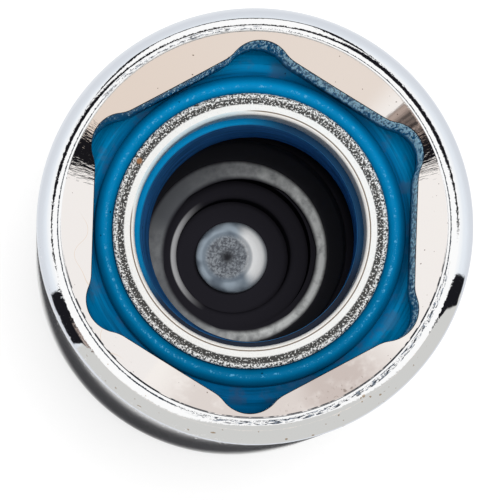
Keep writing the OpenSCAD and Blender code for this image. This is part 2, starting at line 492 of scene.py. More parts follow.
@dataclass
class Place:
    """Where a point of a piece lies, as sockets of its shader.

    Attributes:
        wires: wiring of the material.
        point: place in millimetres.
        radius: distance from the axis in millimetres.
        height: height above the foot in millimetres.
        azimuth: angle round the axis in degrees, from 0 to 360.
        spoke: direction away from the axis, which makes textures run like spokes.
    """

    wires: Wiring
    point: Socket
    radius: Socket
    height: Socket
    azimuth: Socket
    spoke: Socket

    @classmethod
    def read(cls, wires: Wiring, axis_mm: Point = (0.0, 0.0)) -> "Place":
        """Reads the place from the piece's Object coordinates.

        Args:
            wires: wiring of the material.
            axis_mm: where the upright line stands that the place is counted from.

        Returns:
            The place.
        """
        object_place = wires.add("ShaderNodeTexCoord").outputs["Object"]
        feeds = {0: object_place, 1: (1 / MM,) * 3, 2: (-axis_mm[0], -axis_mm[1], 0.0)}
        point = wires.vector("MULTIPLY_ADD", feeds)
        parts = wires.add("ShaderNodeSeparateXYZ", None, {0: point}).outputs
        flat = wires.combine({0: parts[0], 1: parts[1]})
        radius = wires.vector("LENGTH", {0: flat}, "Value")
        spoke = wires.vector("NORMALIZE", {0: flat})
        return cls(wires, point, radius, parts[2], turn_degrees(wires, parts[0], parts[1]), spoke)

    def within(self, zone: Zone) -> Socket:
        """Gives a mask of a zone."""
        pairs = ((self.radius, zone.radius), (self.height, zone.height), (self.azimuth, zone.azimuth))
        masks = [self.wires.mask(value, limits) for value, limits in pairs if limits is not None]
        return self.wires.both(*masks)

    def weighted(self, zones: Sequence[tuple[Zone, float]]) -> Socket:
        """Gives the sum of several zones, each with its own share."""
        total: Feed = 0.0
        for zone, share in zones:
            total = self.wires.math("MULTIPLY_ADD", self.within(zone), share, total)
        return total

    def facing(self, toward_deg: float) -> Socket:
        """Gives 1 at an azimuth, falling to -1 on the opposite side."""
        turn = self.wires.math("MULTIPLY_ADD", self.azimuth, math.pi / 180, math.radians(-toward_deg))
        return self.wires.math("COSINE", turn)

    def noise(self, scale: float, detail: float, roughness: float) -> Socket:
        """Gives a noise that is alike in all directions."""
        return self.wires.noise(self.point, scale, detail, roughness)

    def stretched(self, across: float, along: float, detail: float, roughness: float) -> Socket:
        """Gives a noise with its own scales across and along the axis."""
        place = self.wires.vector("MULTIPLY", {0: self.point, 1: (across, across, along)})
        return self.wires.noise(place, 1.0, detail, roughness)

    def spokes(self, round_scale: float, radial_scale: float, detail: float, roughness: float) -> Socket:
        """Gives a noise that runs like spokes.

        Args:
            round_scale: how often it changes round the axis, per radian.
            radial_scale: how often it changes along a spoke, per millimetre.
            detail: number of finer layers.
            roughness: weight of the finer layers.

        Returns:
            The noise, from 0 to 1.
        """
        out = self.wires.combine({2: self.wires.math("MULTIPLY", self.radius, radial_scale)})
        feeds = {0: self.spoke, 1: (round_scale, round_scale, 0.0), 2: out}
        return self.wires.noise(self.wires.vector("MULTIPLY_ADD", feeds), 1.0, detail, roughness)

    def turned_lines(self, across: Socket, across_scale: float, round_scale: float) -> Socket:
        """Gives a noise of fine lines round the axis, as a lathe leaves them.

        Args:
            across: coordinate that runs across the lines, in millimetres.
            across_scale: how often the noise changes across the lines, per millimetre.
            round_scale: how often it changes along them, per degree.

        Returns:
            The noise, from 0 to 1.
        """
        place = self.wires.combine(
            {
                0: self.wires.math("MULTIPLY", across, across_scale),
                1: self.wires.math("MULTIPLY", self.azimuth, round_scale),
            }
        )
        return self.wires.noise(place, 1.0, 2.0, 0.6)


def turn_degrees(wires: Wiring, across: Socket, along: Socket) -> Socket:
    """Gives the angle round Z of a point or direction, from 0 to 360 degrees."""
    turn = wires.math("MULTIPLY", wires.math("ARCTAN2", along, across), 0.5 / math.pi)
    return wires.math("MULTIPLY", wires.math("FRACT", wires.math("ADD", turn, 1.0)), 360.0)


def new_material(name: str) -> tuple[bpy.types.Material, Wiring, bpy.types.Node]:
    """Makes a material with one Principled shader.

    Args:
        name: name of the material.

    Returns:
        The material, its wiring and its shader node.
    """
    material = bpy.data.materials.new(name)
    material.use_nodes = True
    wires = Wiring(material.node_tree)
    shader = wires.add("ShaderNodeBsdfPrincipled")
    wires.add("ShaderNodeOutputMaterial", None, {"Surface": shader.outputs[0]})
    return material, wires, shader


# Finishes


def scaled(colour: Colour, share: float) -> Colour:
    """Gives a darker or paler tone of a colour."""
    red, green, blue = colour
    return (red * share, green * share, blue * share)


@dataclass(frozen=True)
class Finish(ABC):
    """Finish of one material slot."""

    slot: ClassVar[Slot]

    @abstractmethod
    def feeds(self, place: Place) -> dict[str, Feed]:
        """Gives what feeds the shader's inputs, by name."""

    def material(self) -> bpy.types.Material:
        """Makes the material."""
        material, wires, shader = new_material(self.slot.value)
        wires.fill(shader, self.feeds(Place.read(wires)))
        return material


@dataclass(frozen=True)
class PlatedSteel(Finish):
    """Polished plating outside, a warm lead-in cone, pitted walls in the opening with a painted blue
    reflection and painted glints, and dark scaled bores.
    """

    slot: ClassVar[Slot] = Slot.PLATED_STEEL

    # Colours and roughness
    chrome: Colour = (0.965, 0.967, 0.97)
    cone: Colour = (0.90, 0.855, 0.82)
    cone_dull: Colour = (0.60, 0.52, 0.485)
    mark: Colour = (0.80, 0.62, 0.45)
    speck: Colour = (0.25, 0.20, 0.17)
    # The walls' pale colour is painted glints, and their dark colour is a painted blue reflection of the
    # insert.
    wall: Colour = (0.60, 0.88, 1.0)
    wall_blue_reflection: Colour = (0.035, 0.13, 0.235)
    # Painted dark line along the opening's edge, standing in for the dark that the edge mirrors.
    brink_reflection: Colour = (0.02, 0.02, 0.022)
    # Dark dashes on the crown, part scuffs and part painted shade; the dark colour also draws a painted
    # reflected line.
    scuff_and_shade: Colour = (0.04, 0.045, 0.055)
    scuff_pale: Colour = (0.25, 0.29, 0.35)
    # Painted glints on burrs at the bevel's edge and on the side below it, drawn as dull white spots.
    burr_glint: Colour = (0.93, 0.93, 0.93)
    stain: Colour = (0.55, 0.44, 0.34)
    scale: Colour = (0.018, 0.017, 0.022)
    bore: Colour = (0.11, 0.11, 0.13)
    # Lit and shaded colours of the shoulder: painted light, brightest on one side.
    shoulder: Colour = (0.74, 0.755, 0.745)
    shoulder_shaded: Colour = (0.10, 0.105, 0.115)
    # Painted lit crescent on one side of the recess edge.
    wear_and_light: Colour = (0.42, 0.42, 0.43)
    satin: Colour = (0.60, 0.60, 0.61)
    polish_rough: float = 0.03
    glint_rough: Point = (0.30, 0.95)
    satin_rough: float = 0.42
    dull_rough: float = 0.5

    # Lead-in cone and depths below it
    lead_in: LeadIn = LeadIn()
    cone_edge_mm: Point = (9.580, 69.931)
    cone_below: Limits = (0.012, 0.006)
    wall_below: Limits = (0.05, 0.09)
    brink_below: Limits = (0.010, 0.075, 0.005)

    # Where each surface lies
    mouth_zone: Zone = Zone(radius=(9.62, 9.56), height=(54.0, 55.0))
    deep_zone: Zone = Zone(radius=(8.6, 8.3), height=(13.6, 55.4, 0.2))
    drive_zone: Zone = Zone(radius=(6.9, 6.84), height=(0.05, 12.7, 0.03))
    glint_zone: Zone = Zone(height=(60.5, 64.0))
    glint_side_deg: float = 35.0
    side_zone: Zone = Zone(height=(68.95, 68.85))
    bevel_zone: Zone = Zone(radius=(9.68, 10.25, 0.1), height=(67.0, 68.0))

    # Wear and marks round the mouth, and light and shade painted on it
    streak_zones: tuple[Zone, ...] = (Zone(azimuth=(150, 166, 5)), Zone(azimuth=(18, 30, 5)))
    # Duller, darker patches on the near side of the cone.
    dull_side_zones: tuple[tuple[Zone, float], ...] = (
        (Zone(azimuth=(254.0, 310.0, 16.0)), 0.6),
        (Zone(azimuth=(294.0, 306.0, 10.0)), 0.4),
    )
    mark_zone: Zone = Zone(azimuth=(182.0, 224.0, 5.0))
    grime_zone: Zone = Zone(radius=(8.75, 9.35), azimuth=(286.0, 304.0, 8.0))
    burr_glint_edge_zone: Zone = Zone(radius=(10.62, 10.74), height=(68.0, 68.4))
    burr_glint_side_zone: Zone = Zone(radius=(10.80, 10.85), height=(65.0, 68.3, 2.5))
    burr_glint_zone: Zone = Zone(azimuth=(195.0, 262.0, 15.0))
    dash_zone: Zone = Zone(radius=(9.74, 9.92, 0.04), height=(67.0, 68.0))
    # More dashes on the near side, as painted shade.
    dash_near_zone: Zone = Zone(azimuth=(262.0, 342.0, 12.0))
    dash_far_zone: Zone = Zone(azimuth=(96.0, 136.0, 12.0))
    line_zone: Zone = Zone(radius=(9.555, 9.590, 0.015), height=(67.0, 68.0), azimuth=(200.0, 346.0, 12.0))
    stain_zone: Zone = Zone(radius=(9.98, 10.05), height=(67.0, 68.0), azimuth=(225.0, 318.0, 12.0))
    crown_zone: Zone = Zone(radius=(9.72, 9.90, 0.05), height=(69.6, 69.75))
    crown_wear_zones: tuple[tuple[Zone, float], ...] = (
        (Zone(azimuth=(85.0, 132.0, 20.0)), 0.35),
        (Zone(azimuth=(260.0, 335.0, 15.0)), 0.85),
    )
    crown_wear_least: float = 0.12

    # Where the bores shine
    bore_zone: Zone = Zone(radius=(4.85, 4.95), height=(28.0, 39.4, 0.2))
    shoulder_zone: Zone = Zone(radius=(5.03, 4.78), height=(27.68, 27.72, 0.04))
    shoulder_lit_deg: float = 345.0
    second_shine_zone: Zone = Zone(azimuth=(176.0, 190.0, 22.0))
    well_axis_mm: Point = (0.236, -0.110)
    well_zone: Zone = Zone(radius=(4.10, 4.40))
    # Where the painted lit crescent on the recess edge lies.
    recess_lit_zone: Zone = Zone(radius=(3.0, 3.4, 0.1), height=(21.75, 22.2, 0.1), azimuth=(165.0, 200.0, 45.0))

    def feeds(self, place: Place) -> dict[str, Feed]:
        """Gives what feeds the shader's inputs, by name."""
        wires = place.wires
        cut, below = self.cone_place(place)
        mouth = cut.within(self.mouth_zone)
        cone = wires.both(mouth, wires.mask(below, self.cone_below))
        wall = wires.both(mouth, wires.mask(below, self.wall_below))
        brink_reflection = wires.both(mouth, wires.mask(below, self.brink_below))
        deep = place.within(self.deep_zone)
        drive = place.within(self.drive_zone)
        grain = place.noise(7.0, 3.0, 0.6)
        burr_glint = self.burr_glints(place, grain)
        sheen = place.stretched(8.0, 0.45, 2.0, 0.65)
        # Painted glints on the walls, more of them on the lit side, over a painted blue reflection of the
        # insert.
        glint = wires.math("MULTIPLY_ADD", place.facing(self.glint_side_deg), 0.10, sheen)
        glint = wires.both(wires.band(glint, 0.53, 0.62), place.within(self.glint_zone))

        colour = wires.mix(cone, self.chrome, self.cone_colour(place))
        colour = wires.mix(wall, colour, wires.mix(glint, self.wall_blue_reflection, self.wall))
        # Painted dark line along the opening's edge, standing in for the dark that the edge mirrors.
        colour = wires.mix(brink_reflection, colour, self.brink_reflection)
        colour = self.scuffed_and_shaded(place, cut, colour)
        # Painted glints on burrs, drawn as dull white spots.
        colour = wires.mix(burr_glint, colour, self.burr_glint)
        colour = wires.mix(deep, colour, self.bore_colour(place))
        colour = wires.mix(drive, colour, wires.mix(grain, scaled(self.satin, 0.85), self.satin))
        dull = wires.either(deep, burr_glint)
        rough = wires.blend(wall, self.polish_rough, wires.blend(glint, *self.glint_rough))
        rough = wires.blend(drive, rough, self.satin_rough)
        return {
            "Base Color": colour,
            "Metallic": wires.math("SUBTRACT", 1.0, dull),
            "Specular IOR Level": wires.math("MULTIPLY_ADD", deep, -0.5, 0.5),
            "Roughness": wires.blend(dull, rough, self.dull_rough),
            "Normal": self.relief(place, cone, wall, sheen),
        }

    def cone_place(self, place: Place) -> tuple[Place, Socket]:
        """Counts the place from the lead-in cone.

        Args:
            place: where the point lies.

        Returns:
            The place with a radius that the cone's edge has all round, and the depth below the cone.
        """
        wires = place.wires
        slope = math.tan(math.radians(self.lead_in.slope_deg))
        edge_r, edge_z = self.cone_edge_mm
        toward = place.facing(self.lead_in.off_deg)
        reach = wires.math("MULTIPLY_ADD", toward, self.lead_in.off, self.lead_in.out)
        cut = replace(place, radius=wires.math("SUBTRACT", place.radius, reach))
        cone_z = wires.math("MULTIPLY_ADD", cut.radius, slope, edge_z - edge_r * slope)
        return cut, wires.math("SUBTRACT", cone_z, place.height)

    def relief(self, place: Place, cone: Socket, wall: Socket, sheen: Socket) -> Socket:
        """Gives the normal, with slight waves, wear round the rim, streaks on the cone and pitted walls.

        Args:
            place: where the point lies.
            cone: mask of the lead-in cone.
            wall: mask of the opening's walls.
            sheen: noise that the walls are pitted by.

        Returns:
            The bumped normal.
        """
        wires = place.wires
        calm = wires.either(cone, place.within(self.side_zone))
        share = wires.math("MULTIPLY_ADD", calm, -0.8, 1.0)
        normal = wires.bump(place.noise(1.6, 2.0, 0.5), 0.003 * MM, None, share)
        normal = wires.bump(place.noise(5.0, 2.0, 0.6), 0.007 * MM, normal, place.within(self.bevel_zone))
        sides = wires.either(*(place.within(zone) for zone in self.streak_zones))
        share = wires.math("MULTIPLY_ADD", sides, 0.95, 0.05)
        normal = wires.bump(place.spokes(42.0, 0.7, 3.0, 0.7), 0.010 * MM, normal, wires.both(cone, share))
        wear_and_light = wires.math("ADD", place.weighted(self.crown_wear_zones), self.crown_wear_least)
        wear_and_light = wires.both(place.within(self.crown_zone), wear_and_light)
        normal = wires.bump(place.spokes(62.0, 3.0, 2.0, 0.6), 0.12 * MM, normal, wear_and_light)
        return wires.bump(sheen, 0.02 * MM, normal, wall)

    def cone_colour(self, place: Place) -> Socket:
        """Gives the cone's colour, duller and darker in patches on its near side, with water marks on the
        left, grime and specks.
        """
        wires = place.wires
        cloud = wires.band(place.noise(0.8, 3.0, 0.6), 0.15, 0.50)
        dull = wires.both(place.weighted(self.dull_side_zones), cloud)
        colour = wires.mix(dull, self.cone, self.cone_dull)
        contour = wires.window(place.noise(0.45, 0.0, 0.5), 0.500, 0.503, 0.006)
        mark = wires.both(contour, place.within(self.mark_zone))
        colour = wires.mix(wires.math("MULTIPLY", mark, 0.55), colour, self.mark)
        grime = wires.band(place.spokes(55.0, 4.0, 2.0, 0.6), 0.58, 0.70)
        grime = wires.both(place.within(self.grime_zone), grime)
        colour = wires.mix(wires.math("MULTIPLY", grime, 0.7), colour, self.speck)
        speck = wires.band(place.noise(6.5, 0.0, 0.5), 0.845, 0.86)
        return wires.mix(speck, colour, self.speck)

    def burr_glints(self, place: Place, grain: Socket) -> Socket:
        """Gives a mask of small white painted glints on burrs along the bevel's outer edge and on the side
        below it.
        """
        wires = place.wires
        edge = wires.both(place.within(self.burr_glint_edge_zone), wires.band(grain, 0.62, 0.64))
        spark = wires.band(place.stretched(4.0, 0.35, 2.0, 0.7), 0.63, 0.68)
        side = wires.both(place.within(self.burr_glint_side_zone), spark)
        return wires.both(wires.either(edge, side), place.within(self.burr_glint_zone))

    def scuffed_and_shaded(self, place: Place, cut: Place, colour: Socket) -> Socket:
        """Adds dark dashes on the crown, part scuffs and part painted shade, a broken dark line inside it
        that is a painted reflection, and brown specks on the bevel.

        Args:
            place: where the point lies.
            cut: the same with a radius that the cone's edge has all round.
            colour: colour of the clean surface.

        Returns:
            The colour with its wear, painted shade and a painted reflection.
        """
        wires = place.wires
        dash = place.spokes(26.0, 12.0, 2.0, 0.65)
        near = wires.both(place.within(self.dash_near_zone), wires.band(dash, 0.49, 0.56))
        far = wires.both(place.within(self.dash_far_zone), wires.band(dash, 0.53, 0.60))
        dashes = wires.either(near, wires.math("MULTIPLY", far, 0.8))
        scuff_and_shade = wires.both(place.within(self.dash_zone), dashes)
        pale = wires.band(place.noise(5.0, 1.0, 0.5), 0.4, 0.6)
        colour = wires.mix(scuff_and_shade, colour, wires.mix(pale, self.scuff_and_shade, self.scuff_pale))
        # A painted reflection of a dark line, broken, just inside the crown.
        broken_reflection = wires.band(place.spokes(14.0, 0.5, 2.0, 0.6), 0.40, 0.50)
        colour = wires.mix(wires.both(cut.within(self.line_zone), broken_reflection), colour, self.scuff_and_shade)
        stain = wires.band(place.noise(3.2, 1.0, 0.5), 0.70, 0.75)
        return wires.mix(wires.both(place.within(self.stain_zone), stain), colour, self.stain)

    def bore_colour(self, place: Place) -> Socket:
        """Gives the colour of the bores: dark scale, a pale shoulder with painted light brightest on one
        side, and a painted lit crescent on the recess edge.
        """
        wires = place.wires
        colour = wires.mix(place.within(self.bore_zone), self.scale, self.bore)
        well = Place.read(wires, self.well_axis_mm)
        ledge = wires.both(place.within(self.shoulder_zone), well.within(self.well_zone))
        # Painted light, brightest on one side of the shoulder.
        half = wires.math("MULTIPLY_ADD", place.facing(self.shoulder_lit_deg), 0.5, 0.5)
        shine = wires.math("POWER", half, 1.5)
        shine = wires.math("MULTIPLY_ADD", place.within(self.second_shine_zone), 0.12, shine)
        cloud = wires.math("MULTIPLY_ADD", place.noise(1.9, 3.0, 0.6), 2.6, -0.3)
        face = wires.mix(wires.both(shine, cloud), self.shoulder_shaded, self.shoulder)
        colour = wires.mix(ledge, colour, face)
        # Painted lit crescent on the recess edge.
        return wires.mix(place.within(self.recess_lit_zone), colour, self.wear_and_light)


@dataclass(frozen=True)
class BluePlastic(Finish):
    """Semi gloss moulded plastic with painted light and shade, paler on one side, with a turned shelf with
    patches of wear and a dark throat.
    """

    slot: ClassVar[Slot] = Slot.BLUE_PLASTIC
    body: Colour = (0.0, 0.208, 0.442)
    gleam: Colour = (0.10, 0.40, 0.64)
    flank_shade: Colour = (0.58, 0.58, 0.62)
    shelf: Colour = (0.0, 0.215, 0.46)
    shelf_shade: Colour = (0.7, 0.47, 0.54)
    wear_and_light: Colour = (0.025, 0.165, 0.33)
    throat: Colour = (0.065, 0.27, 0.60)
    ledge: Colour = (0.016, 0.058, 0.130)
    ledge_shade: Colour = (0.022, 0.027, 0.042)
    speck: Colour = (0.0, 0.02, 0.05)
    rough: Point = (0.24, 0.36)
    specular: float = 0.12
    # Side towards which painted light makes the lip paler.
    lit_side_deg: float = 95.0
    shelf_near_deg: float = 255.0
    flank_zone: Zone = Zone(radius=(7.42, 7.74), height=(60.2, 61.7, 0.1))
    crest_zone: Zone = Zone(radius=(7.34, 7.42, 0.06), height=(61.5, 61.6))
    shelf_zone: Zone = Zone(radius=(7.84, 7.94), height=(56.0, 60.5, 0.1))
    shelf_worn_zone: Zone = Zone(radius=(8.95, 8.55))
    shelf_contact_zone: Zone = Zone(radius=(8.45, 7.98))
    throat_zone: Zone = Zone(radius=(5.98, 5.9), height=(57.97, 57.9))
    ledge_zone: Zone = Zone(radius=(6.3, 6.2), height=(57.95, 58.02, 0.03))
    ledge_lit_zone: Zone = Zone(azimuth=(100.0, 190.0, 30.0))
    ledge_near_zone: Zone = Zone(azimuth=(228.0, 334.0, 24.0))

    def feeds(self, place: Place) -> dict[str, Feed]:
        """Gives what feeds the shader's inputs, by name."""
        wires = place.wires
        cloud = place.noise(0.8, 3.0, 0.6)
        fine = place.noise(8.0, 3.0, 0.6)
        # Painted light makes the lip paler on one side; the cloud adds tone that differs at random.
        side = wires.math("MULTIPLY_ADD", place.facing(self.lit_side_deg), 0.34, 0.13)
        tone = wires.math("ADD", side, wires.math("MULTIPLY", cloud, 0.5))
        colour = wires.mix(tone, scaled(self.body, 0.68), scaled(self.body, 1.32))
        colour = wires.mix(place.within(self.flank_zone), colour, self.flank_shade, "MULTIPLY")
        sparkle = wires.band(place.noise(7.0, 2.0, 0.7), 0.54, 0.68)
        colour = wires.mix(wires.both(place.within(self.crest_zone), sparkle), colour, self.gleam)
        colour = wires.mix(place.within(self.shelf_zone), colour, self.shelf_colour(place, cloud))
        unlit = wires.math("SUBTRACT", 1.0, place.within(self.ledge_lit_zone))
        ledge = wires.both(place.within(self.ledge_zone), unlit)
        shaded = wires.mix(place.within(self.ledge_near_zone), self.ledge, self.ledge_shade)
        colour = wires.mix(ledge, colour, shaded)
        throat = place.within(self.throat_zone)
        lines = wires.band(place.turned_lines(place.height, 2.2, 0.02), 0.35, 0.65)
        turned_throat = wires.mix(lines, scaled(self.throat, 0.7), scaled(self.throat, 1.25))
        colour = wires.mix(throat, colour, turned_throat)
        speck = wires.band(place.noise(3.0, 1.0, 0.5), 0.775, 0.79)
        hidden = wires.either(throat, ledge)
        return {
            "Base Color": wires.mix(speck, colour, self.speck),
            "Roughness": wires.blend(fine, *self.rough),
            "Specular IOR Level": wires.math("MULTIPLY_ADD", hidden, -self.specular, self.specular),
            "Normal": wires.bump(fine, 0.012 * MM),
        }

    def shelf_colour(self, place: Place, cloud: Socket) -> Socket:
        """Gives the colour of the corner shelves, with fine turned lines, patches of wear next to the lip,
        and painted shade next to the lip and on the near side.
        """
        wires = place.wires
        lines = wires.band(place.turned_lines(place.radius, 6.0, 0.03), 0.36, 0.54)
        shelf = wires.mix(lines, scaled(self.shelf, 0.66), self.shelf)
        wear_and_light = wires.both(wires.band(cloud, 0.50, 0.66), place.within(self.shelf_worn_zone))
        shelf = wires.mix(wear_and_light, shelf, self.wear_and_light)
        # Painted shade next to the lip and on the near side.
        contact = wires.math("MULTIPLY", place.within(self.shelf_contact_zone), 0.9)
        near = wires.band(place.facing(self.shelf_near_deg), 0.45, 1.0)
        return wires.mix(wires.either(contact, near), shelf, self.shelf_shade, "MULTIPLY")


@dataclass(frozen=True)
class NickelMagnet(Finish):
    """Bright nickel plating with a tumbled crown, painted reflections (a dark pitted band on the crown,
    bluish on one side of the bore) and a brownish inner edge.
    """

    slot: ClassVar[Slot] = Slot.NICKEL_MAGNET
    plating: Colour = (0.95, 0.925, 0.885)
    # Dark pits; on the crown they also stand in for the reflection of the dark camera above.
    pit_and_reflection: Colour = (0.05, 0.047, 0.043)
    brown: Colour = (0.20, 0.15, 0.11)
    inner: Colour = (0.98, 0.93, 0.87)
    # Painted bluish reflection on one side of the inner edge.
    inner_cool_reflection: Colour = (0.62, 0.72, 0.75)
    rust: Colour = (0.33, 0.15, 0.06)
    metal: float = 0.1
    rough: Point = (0.2, 0.4)
    # Side towards which the crown's painted dark reflection thins out.
    crown_lit_deg: float = 75.0
    crown_zone: Zone = Zone(radius=(6.46, 6.72, 0.08), height=(61.0, 61.3))
    edge_zone: Zone = Zone(radius=(6.7, 6.8), height=(61.0, 61.3))
    inner_zone: Zone = Zone(radius=(6.12, 6.06))
    cool_reflection_zone: Zone = Zone(azimuth=(106.0, 158.0, 22.0))
    line_zone: Zone = Zone(radius=(6.06, 6.10, 0.025))
    rust_mm: tuple[float, float, float] = (-5.75, 3.35, 62.0)
    rust_reach: Limits = (0.2, 0.1)

    def feeds(self, place: Place) -> dict[str, Feed]:
        """Gives what feeds the shader's inputs, by name."""
        wires = place.wires
        grain = place.noise(10.0, 2.0, 0.65)
        # Painted reflection: a dark pitted band on the crown, thinner towards one side.
        shift = wires.math("MULTIPLY_ADD", place.facing(self.crown_lit_deg), 0.02, grain)
        crown = wires.both(place.within(self.crown_zone), wires.band(shift, 0.62, 0.55))
        edge = wires.both(place.within(self.edge_zone), wires.band(grain, 0.53, 0.46))
        # Painted bluish reflection on one side of the inner edge.
        cool_reflection = place.within(self.cool_reflection_zone)
        inner = wires.mix(cool_reflection, self.inner, self.inner_cool_reflection)
        colour = wires.mix(place.within(self.inner_zone), self.plating, inner)
        line = wires.both(place.within(self.line_zone), wires.band(cool_reflection, 0.6, 0.0))
        colour = wires.mix(line, colour, self.brown)
        colour = wires.mix(wires.either(crown, edge), colour, self.pit_and_reflection)
        away = wires.vector("DISTANCE", {0: place.point, 1: self.rust_mm}, "Value")
        colour = wires.mix(wires.mask(away, self.rust_reach), colour, self.rust)
        return {
            "Base Color": colour,
            "Metallic": self.metal,
            "Roughness": wires.blend(grain, *self.rough),
            "Normal": wires.bump(grain, 0.02 * MM),
        }


@dataclass(frozen=True)
class BrightPin(Finish):
    """Bright turned steel with a rough end face a little off centre, painted highlight and shade on its
    shoulder, and its middle painted dark as the shade of a centre mark.
    """

    slot: ClassVar[Slot] = Slot.BRIGHT_PIN
    # Painted light: the bright colour is a highlight on one side of the shoulder, the shade and gleam colours
    # painted shade and reflection elsewhere.
    steel: Colour = (0.98, 0.99, 1.0)
    shade: Colour = (0.15, 0.185, 0.23)
    gleam: Colour = (0.42, 0.50, 0.58)
    face: Colour = (0.36, 0.39, 0.425)
    face_pit: Colour = (0.12, 0.13, 0.15)
    # The dark middle is painted shade, where a centre mark would lie.
    middle: Colour = (0.03, 0.03, 0.035)
    metal: float = 0.1
    rough: Point = (0.25, 0.45)
    bright_deg: float = 12.0
    face_axis_mm: Point = (-0.28, -0.01)
    rim_shade_zone: Zone = Zone(radius=(1.68, 1.95))
    outline_shade_zone: Zone = Zone(radius=(1.26, 1.32, 0.16))
    edge_zone: Zone = Zone(radius=(1.02, 1.34))
    middle_shade_zone: Zone = Zone(radius=(0.6, 0.05))

    def feeds(self, place: Place) -> dict[str, Feed]:
        """Gives what feeds the shader's inputs, by name."""
        wires = place.wires
        face_place = Place.read(wires, self.face_axis_mm)
        grain = place.noise(9.0, 3.0, 0.6)
        cloud = wires.band(place.noise(1.1, 1.0, 0.5), 0.35, 0.65)
        # Painted highlight on one side of the shoulder, painted shade at its rim and round the face.
        toward = place.facing(self.bright_deg)
        edge = wires.mix(cloud, self.shade, self.gleam)
        edge = wires.mix(wires.band(toward, 0.25, 0.75), edge, self.steel)
        rim = wires.both(place.within(self.rim_shade_zone), wires.band(toward, 0.0, 0.5))
        edge = wires.mix(wires.math("MULTIPLY", rim, 0.7), edge, self.shade)
        outline = wires.math("MULTIPLY", face_place.within(self.outline_shade_zone), 0.6)
        edge = wires.mix(outline, edge, self.shade)
        spoke = wires.vector("SCALE", {0: face_place.spoke, "Scale": 3.0})
        streak = wires.math("MULTIPLY_ADD", wires.noise(spoke, 1.5, 3.0, 0.7), 0.4, grain)
        face = wires.mix(wires.band(streak, 0.56, 0.86), self.face_pit, self.face)
        colour = wires.mix(face_place.within(self.edge_zone), face, edge)
        colour = wires.mix(face_place.within(self.middle_shade_zone), colour, self.middle)
        return {
            "Base Color": colour,
            "Metallic": self.metal,
            "Roughness": wires.blend(grain, *self.rough),
            "Normal": wires.bump(grain, 0.02 * MM),
        }


# Pieces


def seat(piece: bpy.types.Object, node: str, material: bpy.types.Material) -> None:
    """Dresses a piece and lets it stand for its CAD node.

    Args:
        piece: the finished piece.
        node: CAD node that it stands for.
        material: its finish.
    """
    piece.data.materials.clear()
    piece.data.materials.append(material)
    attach(piece, "root")
    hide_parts(node)
    log.info("%s: %d faces stand for %s", piece.name, len(piece.data.polygons), node)


@dataclass
class Piece(ABC):
    """A piece that is modelled ring by ring and stands for one CAD node.

    Attributes:
        node: CAD node that it stands for.
        closing: how its form closes.
        columns: number of points in each ring.
        finish: its finish.
    """

    node: ClassVar[str]
    closing: ClassVar[Closing]
    columns: int
    finish: Finish

    @abstractmethod
    def rings(self) -> list[Ring]:
        """Draws the piece in the order in which its rings are extruded."""

    def build(self) -> None:
        """Models the piece and dresses it."""
        piece = model_rings(f"{self.node}_visual", self.rings(), self.columns, self.closing)
        seat(piece, self.node, self.finish.material())


